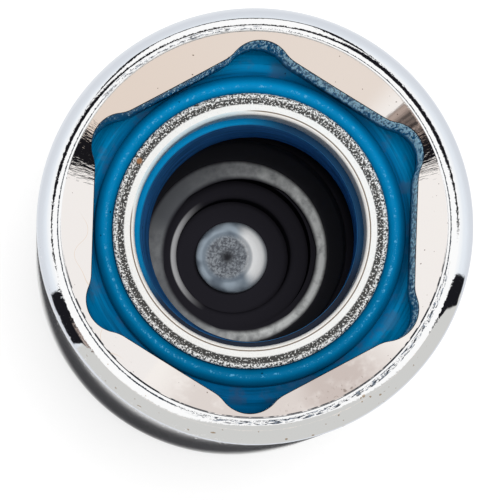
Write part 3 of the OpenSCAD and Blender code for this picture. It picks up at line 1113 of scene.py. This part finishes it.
@dataclass
class SocketBody(Piece):
    """The plated steel socket, from the blind end of its drive hole round the outside and down its bores."""

    node: ClassVar[str] = "socket_body"
    closing: ClassVar[Closing] = Closing.POLE
    columns: int = 504
    finish: Finish = PlatedSteel()
    opening: SixPoint = SixPoint()
    length: float = 70.0
    body_r: float = 10.895

    # Lead-in cone and rim
    lead_in: LeadIn = LeadIn()
    lead_in_over: float = 0.285
    cone_end_over: float = 0.2
    cone_support: float = 0.012
    cone_shares: Point = (0.5, 0.85)
    rim_r: float = 0.325
    rim_steps: int = 12

    # Outside and bevel
    side_off: float = 0.055
    side_off_deg: float = -23.0
    side_z: float = 68.0
    crease: Point = (0.42, 0.425)
    crease_tilts: Point = (35.7, 39.1)
    bevel_starts: tuple[Point, ...] = ((0.0, 0.0), (0.22, 27.0))
    bevel_ends: tuple[Point, ...] = ((0.61, 49.0), (1.09, 54.0))
    bevel_step: float = 0.0025
    bevel_skips: tuple[int, int] = (4, 10)
    bevel_fine_len: float = 0.4
    bevel_edge_steps: int = 10
    side_supports: tuple[float, ...] = (1.5, 0.15, 0.03)
    drive_end_r: float = 9.4
    drive_end_len: float = 15.5
    taper_len: float = 2.5
    foot_bevel: float = 0.8
    foot_land: float = 0.6
    side_round: float = 0.25

    # Opening
    edge_r: float = 0.035
    edge_drops: tuple[Point, ...] = ((0.9, 0.3), (0.5, 0.6), (0.15, 0.9), (0.0, 1.3), (0.0, 2.0))
    wall_support_z: float = 64.0
    ledge_z: float = 55.5

    # Bores
    seat_r: float = 8.0
    seat_z: float = 39.8
    plug_bore_r: float = 5.58
    bore_land: float = 0.5
    bore_round: float = 0.15
    taper_z: float = 35.8
    shoulder_r: float = 5.0
    shoulder_z: float = 27.7
    well_r: float = 4.12
    well_z: float = 22.1
    recess_r: float = 3.14
    recess_z: float = 17.5
    stem_r: float = 1.52
    stem_z: float = 14.0
    chip_depth: float = 0.07
    chip_half_deg: float = 11.0
    chip_len: float = 1.0
    well_off: float = 0.26
    well_off_deg: float = -25.0
    recess_edge_r: float = 0.3
    recess_edge_steps: int = 6
    chip_angles: tuple[float, ...] = (4, 53, 132, 196, 259, 313)

    # Drive hole
    drive_half: float = 4.825
    drive_z: float = 12.5
    pilot_r: float = 5.05
    drive_bevel: float = 0.9
    drive_bevel_steps: int = 6
    detent_z: float = 5.2
    detent_r: float = 1.3
    detent_depth: float = 1.05
    detent_steps: int = 14

    @property
    def bevel_tilts(self) -> tuple[Point, ...]:
        """Tilt of the bevel by the distance outside the crown, with a small crease on the way."""
        return (*self.bevel_starts, *zip(self.crease, self.crease_tilts), *self.bevel_ends)

    @property
    def rim_crown_r(self) -> float:
        """Radius of the rim's crown."""
        slope = math.radians(self.lead_in.slope_deg)
        return self.opening.tip_r + self.lead_in_over + self.rim_r * math.sin(slope)

    @property
    def cone_end_r(self) -> float:
        """Radius down to which the lead-in cone is drawn round, clear of the lobes."""
        return self.opening.tip_r + self.cone_end_over

    def cone_z(self, radius: float, azimuth: float) -> float:
        """Gives the height of the lead-in cone at a radius and an azimuth."""
        slope = math.radians(self.lead_in.slope_deg)
        edge_r = self.rim_crown_r - self.rim_r * math.sin(slope) + self.lead_in.reach(azimuth)
        edge_z = self.length - self.rim_r + self.rim_r * math.cos(slope)
        return edge_z - (edge_r - radius) * math.tan(slope)

    def drive_radius(self, azimuth: float) -> float:
        """Gives the radius of the broached square and its drilled core at an azimuth."""
        square = self.drive_half / max(abs(math.cos(azimuth)), abs(math.sin(azimuth)))
        return max(square, self.pilot_r)

    def well_radius(self, azimuth: float) -> float:
        """Gives the radius of the well's upper edge, chipped and a little off centre, at an azimuth."""
        radius = off_centre(self.well_r, self.well_off, self.well_off_deg)(azimuth)
        for angle in self.chip_angles:
            off = abs(math.degrees(math.remainder(azimuth - math.radians(angle), 2 * math.pi)))
            if off < self.chip_half_deg:
                radius += self.chip_depth * math.cos(math.pi / 2 * off / self.chip_half_deg) ** 2
        return radius

    def drive_rings(self) -> list[Ring]:
        """Draws the drive hole from its blind end down to the foot."""
        groove_x = self.drive_half + self.detent_depth - self.detent_r
        rings = [Ring(lambda a: 0.5 * self.drive_radius(a), self.drive_z)]
        rings.append(Ring(self.drive_radius, self.drive_z))
        for i in range(self.detent_steps + 1):
            off = self.detent_r * math.cos(math.pi * i / self.detent_steps)
            groove = groove_x + math.sqrt(max(0.0, self.detent_r**2 - off**2))
            rings.append(Ring(lambda a, g=groove: max(self.drive_radius(a), g), self.detent_z + off))
        for i in range(self.drive_bevel_steps, -1, -1):
            rise = self.drive_bevel * i / self.drive_bevel_steps
            cone = self.pilot_r + self.drive_bevel - rise
            rings.append(Ring(lambda a, c=cone: max(self.drive_radius(a), c), rise))
        return rings

    def outside_rings(self) -> list[Ring]:
        """Draws the outside from the foot up over the rim to the lead-in cone."""
        rim = (self.rim_crown_r, self.length - self.rim_r)
        bevel = self.bevel_points()
        last_tilt = self.bevel_tilts[-1][1]
        edge_r = (self.body_r - bevel[0][0]) / (1 - math.sin(math.radians(last_tilt)))
        edge = (self.body_r - edge_r, bevel[0][1] - edge_r * math.cos(math.radians(last_tilt)))
        supports = [(self.body_r, edge[1] - below) for below in self.side_supports]
        foot_r = self.drive_end_r - self.foot_bevel
        lower = [
            (foot_r - self.foot_land, 0),
            (foot_r, 0),
            (self.drive_end_r, self.foot_bevel),
            (self.drive_end_r, self.drive_end_len),
            (self.body_r, self.drive_end_len + self.taper_len),
            supports[0],
        ]
        corner = arc(edge, edge_r, 0, 90 - last_tilt, self.bevel_edge_steps)[:-1]
        section = rounded(lower, self.side_round) + supports[1:] + corner + bevel
        rings = [self.side_ring(radius, height) for radius, height in section]
        crown = arc(rim, self.rim_r, 90, 90 + self.lead_in.slope_deg, self.rim_steps)[1:]
        inner_r = crown[-1][0]
        for radius, height in crown:
            share = (rim[0] - radius) / (rim[0] - inner_r)
            rings.append(Ring(lambda a, r=radius, s=share: r + s * self.lead_in.reach(a), height))
        rings.append(self.on_cone(lambda a: inner_r - self.cone_support + self.lead_in.reach(a)))
        rings.append(self.on_cone(lambda a: self.cone_end_r))
        return rings

    def side_ring(self, radius: float, height: float) -> Ring:
        """Gives a ring of the outside, which lies a little off the axis except at the crown."""
        share = min(1.0, max(0.0, (radius - self.rim_crown_r) / self.bevel_tilts[-1][0]))
        if height < self.side_z:
            share = 1.0
        return Ring(off_centre(radius, self.side_off * share, self.side_off_deg), height)

    def bevel_points(self) -> list[Point]:
        """Draws the gently curved bevel from its outer end up to the crown, from its tilt at each radius."""
        step = self.bevel_step
        height = self.length
        points: list[Point] = [(self.rim_crown_r, height)]
        for i in range(round(self.bevel_tilts[-1][0] / step)):
            out = (i + 0.5) * step
            height -= step * math.tan(math.radians(self.bevel_tilt(out)))
            skip = self.bevel_skips[0] if out < self.bevel_fine_len else self.bevel_skips[1]
            if self.crease[0] - 2 * step < out < self.crease[1] + 2 * step:
                skip = 1
            if (i + 1) % skip == 0:
                points.append((self.rim_crown_r + (i + 1) * step, height))
        return points[::-1]

    def bevel_tilt(self, out: float) -> float:
        """Gives the bevel's tilt in degrees at a distance outside the crown."""
        for (start, low), (end, high) in zip(self.bevel_tilts, self.bevel_tilts[1:]):
            if start <= out < end:
                return low + (high - low) * (out - start) / (end - start)
        return self.bevel_tilts[-1][1]

    def mouth_rings(self) -> list[Ring]:
        """Draws the six point opening from the cone down to the corner ledges."""
        outline = self.opening.radius
        edge = self.edge_r
        rings = []
        start = self.cone_end_r
        for share in self.cone_shares:
            rings.append(self.on_cone(lambda a, s=share: start + (outline(a) + edge - start) * s))
        rings.append(self.on_cone(lambda a: outline(a) + edge))
        for out, drop in self.edge_drops:
            rings.append(
                Ring(
                    lambda a, o=out: outline(a) + o * edge,
                    lambda a, o=out, d=drop: self.cone_z(outline(a) + o * edge, a) - d * edge,
                )
            )
        rings.append(Ring(outline, self.wall_support_z))
        rings.append(Ring(outline, self.ledge_z))
        return rings

    def on_cone(self, radius: Callable[[float], float]) -> Ring:
        """Gives a ring that lies on the lead-in cone."""
        return Ring(radius, lambda a: self.cone_z(radius(a), a))

    def bore_rings(self) -> list[Ring]:
        """Draws the stepped bores from the corner ledges down to the pin's hole."""
        rings = turned([(self.seat_r, self.ledge_z), (self.seat_r, self.seat_z)])
        plug_bore = [
            (self.plug_bore_r + self.bore_land, self.seat_z),
            (self.plug_bore_r, self.seat_z),
            (self.plug_bore_r, self.taper_z),
            (self.shoulder_r, self.shoulder_z),
        ]
        rings += turned(rounded(plug_bore, self.bore_round))
        chip_z = self.shoulder_z - self.chip_len
        rings += [Ring(self.well_radius, self.shoulder_z), Ring(self.well_radius, chip_z)]
        rings += turned([(self.well_r, chip_z), (self.well_r, self.well_z)])
        edge = (self.recess_r + self.recess_edge_r, self.well_z - self.recess_edge_r)
        rings += turned(arc(edge, self.recess_edge_r, 90, 180, self.recess_edge_steps))
        rings.append(Ring(self.recess_r, self.recess_z))
        rings += turned([(self.stem_r, self.recess_z), (self.stem_r, self.stem_z)])
        rings.append(Ring(0.5 * self.stem_r, self.stem_z))
        return rings

    def rings(self) -> list[Ring]:
        """Draws the drive hole, the outside, the mouth and the bores."""
        return self.drive_rings() + self.outside_rings() + self.mouth_rings() + self.bore_rings()


@dataclass
class RetainerInsert(Piece):
    """The blue moulded insert with its lip, corner shelves, throat, bead and sleeve."""

    node: ClassVar[str] = "retainer_insert"
    closing: ClassVar[Closing] = Closing.FIRST_RING
    columns: int = 480
    finish: Finish = BluePlastic()
    opening: SixPoint = SixPoint()
    clear: float = 0.004
    shelf_z: float = 60.3
    lip_h: float = 1.35
    lip_steps: int = 20
    lip_support: float = 0.2
    lip_foot: tuple[Point, ...] = ((0.0, 0.12), (0.01, 0.05))
    pocket_r: float = 7.0
    lip_outer_r: float = 7.9
    crest_r: float = 8.55
    crest_shares: tuple[float, ...] = (0.3, 0.6, 0.9, 1.0)
    shelf_slope: float = 32.0
    slope_shares: tuple[float, ...] = (0.15, 0.5, 0.9, 1.0)
    outline_support: float = 0.1
    ledge_z: float = 55.5
    sleeve_r: float = 7.9
    sleeve_bore_r: float = 6.3
    foot_z: float = 40.0
    bead_r: float = 5.35
    bead_len: float = 2.5
    bead_z: float = 49.5
    bead_support: float = 1.0
    throat_r: float = 5.55
    throat_land: float = 0.9
    throat_round: float = 0.12
    pocket_z: float = 58.0
    bead_off: float = 0.33
    bead_off_deg: float = -8.0

    def outline(self, azimuth: float) -> float:
        """Gives the radius of the insert's six point outline at an azimuth."""
        return self.opening.radius(azimuth, self.clear)

    def shelf_height(self, radius: float) -> float:
        """Gives the height of the corner shelf at a radius."""
        return self.shelf_z - max(0.0, radius - self.crest_r) * math.tan(math.radians(self.shelf_slope))

    def rings(self) -> list[Ring]:
        """Draws the pocket, the lip, the shelves, the sleeve and the throat."""
        half = (self.lip_outer_r - self.pocket_r) / 2
        lip = (self.pocket_r + half, self.shelf_z + self.lip_h - half)
        below_lip = lip[1] - self.lip_support
        rings = turned([(self.pocket_r, self.pocket_z), (self.pocket_r, below_lip)])
        rings += turned(arc(lip, half, 180, 0, self.lip_steps))
        rings.append(Ring(self.lip_outer_r, below_lip))
        rings += turned([(self.lip_outer_r + out, self.shelf_z + rise) for out, rise in self.lip_foot])
        for share in self.crest_shares:
            reach = self.lip_outer_r + (self.crest_r - self.lip_outer_r) * share
            rings.append(Ring(lambda a, r=reach: min(r, self.outline(a)), self.shelf_z))
        rings += [self.slope_ring(share) for share in self.slope_shares]
        support = self.outline_support
        rings.append(Ring(self.outline, lambda a: self.shelf_height(self.outline(a)) - support))
        rings.append(Ring(self.outline, self.ledge_z))
        rings += turned([(self.sleeve_r, self.ledge_z), (self.sleeve_r, self.foot_z)])
        rings.append(Ring(self.sleeve_bore_r, self.foot_z))
        throat = [
            (self.sleeve_bore_r, self.bead_z - self.bead_support),
            (self.sleeve_bore_r, self.bead_z),
            (self.bead_r, self.bead_z),
            (self.bead_r, self.bead_z + self.bead_len),
            (self.throat_r, self.pocket_z),
            (self.throat_r + self.throat_land, self.pocket_z),
        ]
        rings += [self.throat_ring(radius, height) for radius, height in rounded(throat, self.throat_round)]
        rings.append(Ring(self.pocket_r, self.pocket_z))
        return rings

    def throat_ring(self, radius: float, height: float) -> Ring:
        """Gives a ring of the throat, which runs from the magnet's seat down to an off centre bead."""
        inward = (self.sleeve_bore_r - radius) / (self.sleeve_bore_r - self.bead_r)
        down = (self.pocket_z - height) / (self.pocket_z - self.bead_z - self.bead_len)
        share = min(1.0, max(0.0, inward)) * min(1.0, max(0.0, down))
        return Ring(off_centre(radius, self.bead_off * share, self.bead_off_deg), height)

    def slope_ring(self, share: float) -> Ring:
        """Gives a ring at a share of the way from the shelf's crest to the outline."""

        def radius(azimuth: float) -> float:
            """Gives the ring's radius at an azimuth."""
            edge = self.outline(azimuth)
            return edge if edge < self.crest_r else self.crest_r + (edge - self.crest_r) * share

        return Ring(radius, lambda a: self.shelf_height(radius(a)))


@dataclass
class RingMagnet(Piece):
    """The nickel plated ring magnet in the insert's pocket."""

    node: ClassVar[str] = "ring_magnet"
    closing: ClassVar[Closing] = Closing.FIRST_RING
    columns: int = 360
    finish: Finish = NickelMagnet()
    outer_r: float = 6.985
    inner_r: float = 5.88
    crown_z: float = 62.0
    foot_z: float = 58.0
    foot_steps: int = 6
    foot_support: float = 0.3
    edge_r: float = 0.16
    edge_steps: int = 14
    inner_edge_r: float = 0.24
    inner_edge_steps: int = 18
    inner_support: float = 0.2

    def rings(self) -> list[Ring]:
        """Draws the foot, the outer edges, the crown and the bore."""
        outer_x = self.outer_r - self.edge_r
        inner_x = self.inner_r + self.inner_edge_r
        inner_z = self.crown_z - self.inner_edge_r
        points = [(self.inner_r, self.foot_z), (outer_x - self.foot_support, self.foot_z)]
        points += arc((outer_x, self.foot_z + self.edge_r), self.edge_r, -90, 0, self.foot_steps)
        points += arc((outer_x, self.crown_z - self.edge_r), self.edge_r, 0, 90, self.edge_steps)
        points += arc((inner_x, inner_z), self.inner_edge_r, 90, 180, self.inner_edge_steps)
        points += [(self.inner_r, inner_z - self.inner_support), (self.inner_r, self.foot_z)]
        return turned(points)


@dataclass
class CentrePin(Piece):
    """The bright pin that stands in the floor recess."""

    node: ClassVar[str] = "centre_pin"
    closing: ClassVar[Closing] = Closing.POLE
    columns: int = 144
    finish: Finish = BrightPin()
    head_r: float = 1.97
    top_z: float = 19.5
    floor_z: float = 17.5
    round_r: float = 0.75
    round_steps: int = 14
    head_support: float = 0.2
    stem_r: float = 1.5
    stem_len: float = 3.2
    stem_face_r: float = 1.05
    face_off: float = 0.28
    face_off_deg: float = 182.0
    face_radii: Point = (0.9, 0.5)

    def rings(self) -> list[Ring]:
        """Draws the stem, the head and the end face, which lies a little off centre."""
        foot_z = self.floor_z - self.stem_len
        round_z = self.top_z - self.round_r
        points = [(self.stem_face_r, foot_z), (self.stem_r, foot_z), (self.stem_r, self.floor_z)]
        points += [(self.head_r, self.floor_z), (self.head_r, round_z - self.head_support)]
        rings = turned(points)
        crown = arc((self.head_r - self.round_r, round_z), self.round_r, 0, 90, self.round_steps)
        crown += [(radius, self.top_z) for radius in self.face_radii]
        for radius, height in crown:
            share = (height - round_z) / self.round_r
            rings.append(Ring(off_centre(radius, self.face_off * share, self.face_off_deg), height))
        return rings


# Studio


@dataclass
class Surroundings:
    """What the plating mirrors: white above, bluish white below, one beige side and dark gaps.

    All angles are in degrees. A course gives a height, or half the width of a line, by azimuth.

    Attributes:
        wires: wiring of the world.
    """

    wires: Wiring
    gap: Colour = (0.010, 0.010, 0.013)
    table_colours: tuple[tuple[float, Colour], ...] = (
        (-30, (0.86, 0.88, 0.91)),
        (-23, (0.80, 0.83, 0.87)),
        (-18.5, (0.68, 0.71, 0.765)),
        (-15, (0.70, 0.735, 0.79)),
        (-11, (0.80, 0.845, 0.905)),
        (-2, (0.90, 0.93, 0.96)),
        (10, (0.95, 0.96, 0.98)),
        (20, WHITE),
    )
    table_left: Course = ((0, 20), (52, 18), (59, 10), (68, 0), (75, -7.5))
    table_right: Course = ((120, -7), (125, -4), (132, 3), (140, 12), (150, 18), (165, 20))
    table_width: Course = ((56, 8), (67, 7), (76, 2), (118, 2), (126, 6), (142, 8))
    table_ends: Limits = (44, 154, 6)
    table_heights: tuple[Limits, ...] = ((12.1, 11.5), (17.2, 17.8))
    seam: Course = ((0, 25), (30, 26.5), (60, 27.5), (90, 36), (120, 32), (150, 26.5), (176, 25))
    seam_left: Course = ((0, 3), (18, 5), (28, 9), (58, 10), (70, 6))
    seam_right: Course = ((130, 6), (140, 8.5), (165, 8), (178, 3))
    seam_ends: Limits = (6, 190, 5)
    grey: Colour = (0.63, 0.63, 0.615)
    beige: tuple[Colour, Colour] = ((0.87, 0.81, 0.765), (0.84, 0.755, 0.69))
    beige_turn: Limits = (235, 335)
    beige_height: Limits = (14.4, 17.9, 1.5)
    side_rim: Colour = (0.73, 0.76, 0.82)
    side_rim_height: Limits = (-16.3, -17.5)
    side_rising: Course = ((216, 14), (232, 20), (252, 24), (262, 36), (272, 46))
    side_falling: Course = ((292, 44), (307, 34), (322, 19), (336, 17))
    side_ends: Limits = (216, 346, 1.0)
    plain_height: Limits = (12.5, 17.0, 0.5)
    left_start: Limits = (198.4, 199.2)
    left_end: Limits = (217.4, 216.6)
    left_end_soft: Limits = (219.5, 213.0)
    left_lean: float = -0.19
    left_height: Limits = (-16.1, 20, 1.0)
    right_start: Limits = (338.4, 339.2)
    right_end: Limits = (351.2, 350.4)
    right_leans: Point = (0.27, 0.25)
    right_height: Limits = (-14.9, 20, 1.0)
    patch: Colour = (0.50, 0.41, 0.37)
    patch_start: Limits = (208, 211.5)
    patch_height: Limits = (3, 24, 8)
    zenith: Colour = (0.03, 0.04, 0.055)
    zenith_height: Limits = (78.5, 80.5)
    aim: Socket = field(init=False)
    azimuth: Socket = field(init=False)
    height: Socket = field(init=False)

    def __post_init__(self) -> None:
        """Reads the direction that is looked at."""
        wires = self.wires
        self.aim = wires.add("ShaderNodeTexCoord").outputs["Generated"]
        parts = wires.add("ShaderNodeSeparateXYZ", None, {0: self.aim}).outputs
        self.azimuth = turn_degrees(wires, parts[0], parts[1])
        self.height = wires.math("MULTIPLY", wires.math("ARCSINE", parts[2]), 180 / math.pi)

    def course(self, stops: Course) -> Socket:
        """Draws an angle that changes with the azimuth."""
        marks = [(at / 360, ((rise + 90) / 180,) * 3) for at, rise in stops]
        drawn = self.wires.ramp(self.wires.math("MULTIPLY", self.azimuth, 1 / 360), marks)
        return self.wires.math("MULTIPLY_ADD", drawn, 180.0, -90.0)

    def over(self, stops: Course) -> Socket:
        """Gives how far the direction lies above a course."""
        return self.wires.math("SUBTRACT", self.height, self.course(stops))

    def by_height(self, stops: Sequence[tuple[float, Colour]]) -> Socket:
        """Draws a colour that changes with the height, from -30 to 30 degrees."""
        marks = [((rise + 30) / 60, shade) for rise, shade in stops]
        return self.wires.ramp(self.wires.math("MULTIPLY_ADD", self.height, 1 / 60, 0.5), marks)

    def line(self, over: Socket, width: Course, ends: Limits) -> Socket:
        """Gives a mask of a dark line.

        Args:
            over: how far the direction lies above the line.
            width: half the width of the line.
            ends: azimuths between which it is drawn.

        Returns:
            The mask.
        """
        off = self.wires.math("DIVIDE", self.wires.math("ABSOLUTE", over), self.course(width))
        return self.wires.both(self.wires.band(off, 1.1, 0.8), self.wires.mask(self.azimuth, ends))

    def leaning(self, height: Socket, lean: float) -> Socket:
        """Gives an azimuth that changes with the height."""
        return self.wires.math("MULTIPLY_ADD", height, lean, self.azimuth)

    def paint(self) -> Socket:
        """Gives the colour in the direction that is looked at."""
        wires = self.wires
        over_table = self.over(self.table_left + self.table_right)
        colour = wires.mix(wires.band(over_table, 1.0, -1.0), WHITE, self.by_height(self.table_colours))
        heights = wires.either(*(wires.mask(self.height, limits) for limits in self.table_heights))
        line = wires.both(self.line(over_table, self.table_width, self.table_ends), heights)
        colour = wires.mix(line, colour, self.gap)
        line = self.line(self.over(self.seam), self.seam_left + self.seam_right, self.seam_ends)
        colour = wires.mix(line, colour, self.gap)
        colour = self.with_gaps(self.with_near_side(colour))
        return wires.mix(wires.mask(self.height, self.zenith_height), colour, self.zenith)

    def with_near_side(self, colour: Socket) -> Socket:
        """Adds the grey and beige side in front, with a pale rim at its foot."""
        wires = self.wires
        beige = wires.mix(wires.mask(self.azimuth, self.beige_turn), *self.beige)
        side = wires.mix(wires.mask(self.height, self.beige_height), self.grey, beige)
        side = wires.mix(wires.mask(self.height, self.side_rim_height), side, self.side_rim)
        under = wires.band(self.over(self.side_rising + self.side_falling), 2.0, -2.0)
        return wires.mix(wires.both(under, wires.mask(self.azimuth, self.side_ends)), colour, side)

    def with_gaps(self, colour: Socket) -> Socket:
        """Adds the two dark gaps beside the near side, the left one with a brown patch."""
        wires = self.wires
        plain = wires.mask(self.height, self.plain_height)
        slant = self.leaning(self.height, self.left_lean)
        end = wires.blend(plain, wires.mask(slant, self.left_end), wires.mask(slant, self.left_end_soft))
        left = wires.both(wires.mask(self.azimuth, self.left_start), end)
        left = wires.both(left, wires.mask(self.height, self.left_height))
        start = wires.mask(self.leaning(self.height, self.right_leans[0]), self.right_start)
        upper = self.leaning(wires.math("MAXIMUM", self.height, 0.0), self.right_leans[1])
        right = wires.both(start, wires.mask(upper, self.right_end))
        right = wires.both(right, wires.mask(self.height, self.right_height))
        blot = wires.band(wires.noise(self.aim, 14.0, 2.0, 0.6), 0.3, 0.6)
        start = wires.mask(self.azimuth, self.patch_start)
        patch = wires.both(start, wires.mask(self.height, self.patch_height))
        patch = wires.both(patch, wires.either(blot, plain))
        dark = wires.mix(wires.both(left, patch), self.gap, self.patch)
        return wires.mix(wires.either(left, right), colour, dark)


@dataclass
class Studio:
    """Pale floor, soft surroundings, a lamp straight above and the camera above the mouth."""

    floor_size: float = 0.24
    floor_sides: int = 96
    floor_colour: Colour = (0.42, 0.42, 0.42)
    dull: float = 0.9
    floor_lift: float = 0.60
    # A dark ring round the foot stands in for its shadow, which the polished side mirrors.
    mat_mm: Point = (10.95, 13.0)
    mat_columns: int = 180
    mat_heights_mm: Point = (0.03, 0.05)
    mat_edge_mm: float = 0.15
    mirrored_near: Colour = (0.34, 0.34, 0.34)
    mirrored_far: Colour = (0.19, 0.225, 0.28)
    mirrored_mm: Point = (13.0, 80.0)
    mat_shadow_mm: Point = (11.33, 11.88)
    mat_shadow_fade_mm: Point = (0.30, 0.34)
    foot_shadow: Colour = (0.055, 0.055, 0.06)
    ambient: float = 0.38
    lamp_share: float = 0.8
    lamp_angle_deg: float = 9.0
    lamp_tilt_deg: Point = (-1.2, 1.2)
    lamp_height: float = 0.6
    camera_mm: tuple[float, float, float] = (-10.29, -15.85, 512.0)
    aim_mm: tuple[float, float, float] = (-0.183, -1.239, 70.0)
    roll_deg: float = 1.9
    focal_px: float = 8897.0
    sensor_mm: float = 36.0

    def lay_floor(self) -> None:
        """Lays the pale round floor, lifted to white for the camera and a little less for what mirrors it."""
        clear_selection()
        radius = self.floor_size / 2
        bpy.ops.mesh.primitive_circle_add(vertices=self.floor_sides, radius=radius, fill_type="NGON")
        floor = bpy.context.object
        floor.name = "floor"
        material, wires, shader = new_material("pale_floor")
        place = Place.read(wires)
        shade = place.noise(0.02, 2.0, 0.5)
        colour = wires.mix(shade, self.floor_colour, scaled(self.floor_colour, 1.02))
        wires.fill(shader, {"Base Color": colour, "Roughness": self.dull, "Specular IOR Level": 0.0})
        path = wires.add("ShaderNodeLightPath").outputs
        seen = wires.either(path["Is Camera Ray"], path["Is Glossy Ray"], path["Is Transmission Ray"])
        far = wires.band(place.radius, *self.mirrored_mm)
        lift = wires.mix(far, self.mirrored_near, self.mirrored_far)
        lift = wires.mix(path["Is Camera Ray"], lift, (self.floor_lift,) * 3)
        wires.fill(shader, {"Emission Color": lift, "Emission Strength": seen})
        floor.data.materials.append(material)

    def lay_foot_shadow(self) -> None:
        """Lays a dark ring round the foot, a painted shadow which only the polished side mirrors."""
        inner, outer = self.mat_mm
        low, top = self.mat_heights_mm
        edge = self.mat_edge_mm
        section = [(inner, low), (inner + edge, top), (outer - edge, top), (outer, low), (inner, low)]
        # The ring is a painted shadow, seen only in mirrors.
        foot_shadow = model_rings("foot_shadow_ring", turned(section), self.mat_columns, Closing.FIRST_RING)
        material, wires, shader = new_material("painted_foot_shadow")
        place = Place.read(wires)
        first, last = self.mat_shadow_mm
        dark = wires.both(
            wires.band(place.radius, first - self.mat_shadow_fade_mm[0], first),
            wires.band(place.radius, last + self.mat_shadow_fade_mm[1], last),
        )
        colour = wires.mix(dark, WHITE, self.foot_shadow)
        wires.fill(shader, {"Base Color": colour, "Roughness": self.dull, "Specular IOR Level": 0.0})
        foot_shadow.data.materials.append(material)
        for rays in ("visible_camera", "visible_diffuse", "visible_shadow", "visible_transmission"):
            setattr(foot_shadow, rays, False)

    def hang_lamp(self) -> None:
        """Hangs a soft lamp straight above, which lights the bores down to the floor."""
        clear_selection()
        bpy.ops.object.light_add(type="SUN", location=(0, 0, self.lamp_height))
        lamp = bpy.context.object
        lamp.name = "lamp"
        lamp.data.energy = self.lamp_share * math.pi
        lamp.data.angle = math.radians(self.lamp_angle_deg)
        lamp.rotation_euler = (*(math.radians(tilt) for tilt in self.lamp_tilt_deg), 0)
        lamp.visible_glossy = False

    def light(self) -> None:
        """Sets even light for dull surfaces and the surroundings that polished ones mirror."""
        world = bpy.data.worlds.new("studio")
        bpy.context.scene.world = world
        world.use_nodes = True
        world.cycles.sampling_method = "NONE"
        wires = Wiring(world.node_tree)
        colour = Surroundings(wires).paint()
        path = wires.add("ShaderNodeLightPath").outputs
        mirrored = wires.either(path["Is Glossy Ray"], path["Is Transmission Ray"])
        colour = wires.mix(mirrored, (self.ambient,) * 3, colour)
        colour = wires.mix(path["Is Camera Ray"], colour, WHITE)
        shader = wires.add("ShaderNodeBackground", None, {"Color": colour, "Strength": 1.0})
        wires.add("ShaderNodeOutputWorld", None, {"Surface": shader.outputs[0]})

    def set_camera(self) -> None:
        """Sets the camera above the mouth, a little to the front left of the axis."""
        clear_selection()
        bpy.ops.object.camera_add()
        camera = bpy.context.object
        camera.name = "camera"
        camera.data.sensor_width = self.sensor_mm
        camera.data.lens = self.focal_px * self.sensor_mm / PICTURE_PX
        place = Vector(self.camera_mm) * MM
        ahead = (Vector(self.aim_mm) * MM - place).normalized()
        turn = math.radians(90 + self.roll_deg)
        right = ahead.cross(Vector((math.cos(turn), math.sin(turn), 0))).normalized()
        up = right.cross(ahead)
        camera.matrix_world = Matrix.Translation(place) @ Matrix((right, up, -ahead)).transposed().to_4x4()
        bpy.context.scene.camera = camera


def main() -> None:
    """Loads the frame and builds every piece."""
    logging.basicConfig(level=logging.INFO, format="%(name)s %(message)s")
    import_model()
    for piece in (SocketBody(), RetainerInsert(), RingMagnet(), CentrePin()):
        piece.build()
    studio = Studio()
    studio.lay_floor()
    studio.lay_foot_shadow()
    studio.light()
    studio.hang_lamp()
    studio.set_camera()
    bpy.context.scene.view_settings.view_transform = "Standard"
    clear_selection()


if __name__ == "__main__":
    main()
